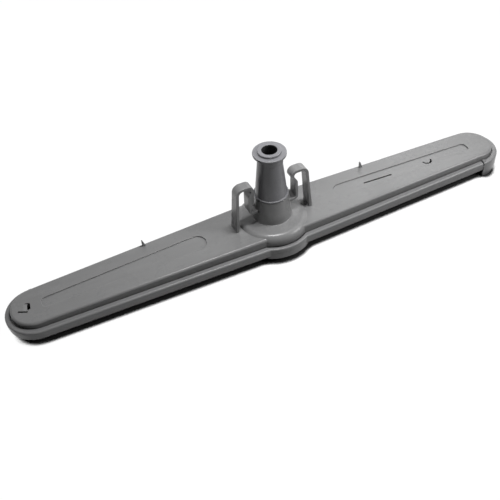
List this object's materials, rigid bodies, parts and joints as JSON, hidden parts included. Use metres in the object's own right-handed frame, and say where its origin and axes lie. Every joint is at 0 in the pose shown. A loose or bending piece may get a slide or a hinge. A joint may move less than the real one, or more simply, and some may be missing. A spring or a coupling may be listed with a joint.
{
  "type": "dishwasher spray arm",
  "caption": "Flat hollow two-bladed water distributor with slotted jets that spins on a conical inlet stem held by spring clips, ending in a flanged bayonet inlet.",
  "frame": {"origin": "on the stem's axis, at the height of the tray's flat underside, which is what the loose arm lies on", "axes": "+X along the arms, +Z along the stem towards the inlet's mouth, +Y across the arms"},
  "size_m": [0.46, 0.0688, 0.0911],
  "materials": {
    "upper_plastic": "satin mid-grey polypropylene",
    "lower_plastic": "satin mid-grey polypropylene",
    "stem_plastic": "satin mid-grey polypropylene"
  },
  "bodies": {
    "stem": {"inlet_stem": "stem_plastic"},
    "arm": {"upper_shell": "upper_plastic", "lower_shell": "lower_plastic"}
  },
  "joints": [
    {"name": "arm_spin", "type": "hinge", "parent": "stem", "child": "arm", "pos_m": [0, 0, 0], "axis": [0, 0, 1], "continuous": true}
  ]
}
